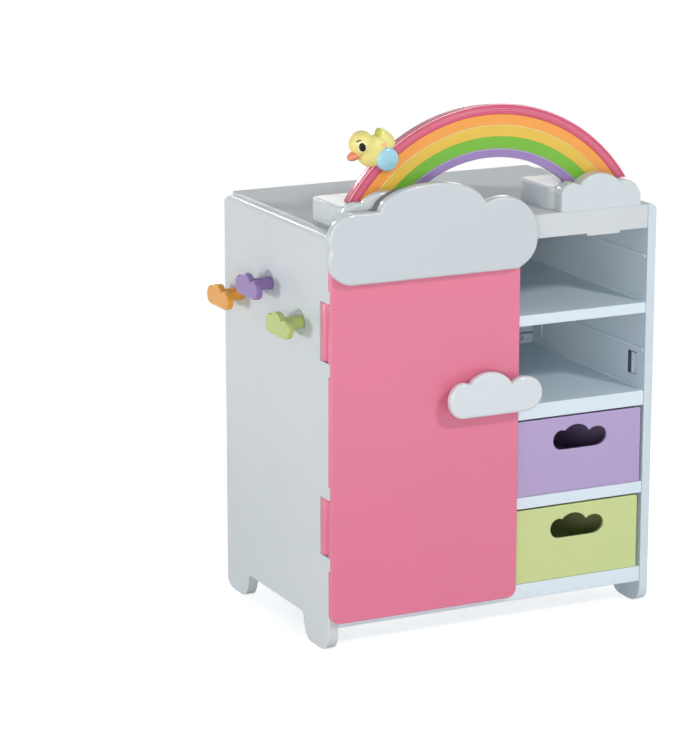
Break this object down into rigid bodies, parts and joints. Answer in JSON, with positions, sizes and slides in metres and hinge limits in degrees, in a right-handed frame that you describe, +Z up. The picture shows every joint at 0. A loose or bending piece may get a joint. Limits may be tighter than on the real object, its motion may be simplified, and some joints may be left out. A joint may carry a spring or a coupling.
{
  "type": "doll wardrobe",
  "caption": "Free-standing doll wardrobe with a hinged door, open shelves, drawers, side hooks, a clothes rail and a rainbow arch with a sliding bird.",
  "frame": {"origin": "middle of the footprint on the floor", "axes": "+X to the right seen from the front, +Y to the back, +Z up; the door and drawers open towards -Y"},
  "size_m": [0.373, 0.261, 0.5018],
  "materials": {
    "white_plastic": "smooth, softly glossy",
    "pink_plastic": "smooth, glossy",
    "grey_plastic": "matt",
    "purple_plastic": "smooth, softly glossy",
    "green_plastic": "smooth, softly glossy",
    "hook_orange": "glossy",
    "hook_purple": "glossy",
    "hook_green": "glossy",
    "hanger_pink": "glossy",
    "hanger_green": "glossy",
    "hanger_purple": "glossy",
    "rainbow_pink": "high gloss",
    "rainbow_orange": "high gloss",
    "rainbow_yellow": "high gloss",
    "rainbow_green": "high gloss",
    "rainbow_purple": "high gloss",
    "bird_yellow": "satin",
    "bird_coral": "satin",
    "bird_aqua": "glossy",
    "bird_black": "glossy",
    "steel": "plain zinc-plated"
  },
  "bodies": {
    "cabinet": {"left_side_panel": "white_plastic", "right_side_panel": "white_plastic", "top_panel": "white_plastic", "bottom_panel": "white_plastic", "divider_panel": "white_plastic", "back_panel": "white_plastic", "shelf_lower": "white_plastic", "shelf_middle": "white_plastic", "shelf_upper": "white_plastic", "rail_socket_left": "white_plastic", "rail_socket_right": "white_plastic", "clothes_rail": "white_plastic", "plinth_left": "white_plastic", "plinth_right": "white_plastic", "cloud_left": "white_plastic", "cloud_right": "white_plastic", "coat_hook_orange": "hook_orange", "coat_hook_purple": "hook_purple", "coat_hook_green": "hook_green", "coat_hook_screw_green": "steel", "coat_hook_screw_purple": "steel", "coat_hook_screw_orange": "steel", "back_screw_1": "steel", "back_screw_2": "steel", "back_screw_3": "steel", "hinge_pin_lower": "steel", "hinge_pin_upper": "steel", "rainbow_pink": "rainbow_pink", "rainbow_orange": "rainbow_orange", "rainbow_yellow": "rainbow_yellow", "rainbow_green": "rainbow_green", "rainbow_purple": "rainbow_purple"},
    "door": {"door_panel": "pink_plastic", "cloud_sign": "white_plastic", "sign_rear_cover": "grey_plastic", "door_knob": "white_plastic", "sign_screw_left": "steel", "sign_screw_right": "steel", "knob_screw_left": "steel", "knob_screw_right": "steel"},
    "drawer_purple": {"purple_drawer": "purple_plastic"},
    "drawer_green": {"green_drawer": "green_plastic"},
    "bird": {"bird_body": "bird_yellow", "bird_beak": "bird_coral", "bird_wing_front": "bird_aqua", "bird_wing_rear": "bird_aqua", "bird_eye_front": "bird_black", "bird_eye_rear": "bird_black"},
    "hanger_pink": {"hanger_pink": "hanger_pink"},
    "hanger_green": {"hanger_green": "hanger_green"},
    "hanger_purple": {"hanger_purple": "hanger_purple"}
  },
  "joints": [
    {"name": "door_hinge", "type": "hinge", "parent": "cabinet", "child": "door", "pos_m": [-0.1575, -0.0935, 0.214], "axis": [0, 0, -1], "range_deg": [0, 100]},
    {"name": "purple_drawer_slide", "type": "slide", "parent": "cabinet", "child": "drawer_purple", "axis": [0, -1, 0], "range_m": [0, 0.16]},
    {"name": "green_drawer_slide", "type": "slide", "parent": "cabinet", "child": "drawer_green", "axis": [0, -1, 0], "range_m": [0, 0.16]},
    {"name": "bird_slide", "type": "hinge", "parent": "cabinet", "child": "bird", "pos_m": [0.0228, -0.066, 0.3243], "axis": [0, 1, 0], "range_deg": [-3, 84]},
    {"name": "hanger_pink_swing", "type": "hinge", "parent": "cabinet", "child": "hanger_pink", "pos_m": [-0.1085, 0.0125, 0.346], "axis": [1, 0, 0], "range_deg": [-12, 12]},
    {"name": "hanger_green_swing", "type": "hinge", "parent": "cabinet", "child": "hanger_green", "pos_m": [-0.0645, 0.0125, 0.346], "axis": [1, 0, 0], "range_deg": [-12, 12]},
    {"name": "hanger_purple_swing", "type": "hinge", "parent": "cabinet", "child": "hanger_purple", "pos_m": [-0.0205, 0.0125, 0.346], "axis": [1, 0, 0], "range_deg": [-12, 12]}
  ]
}
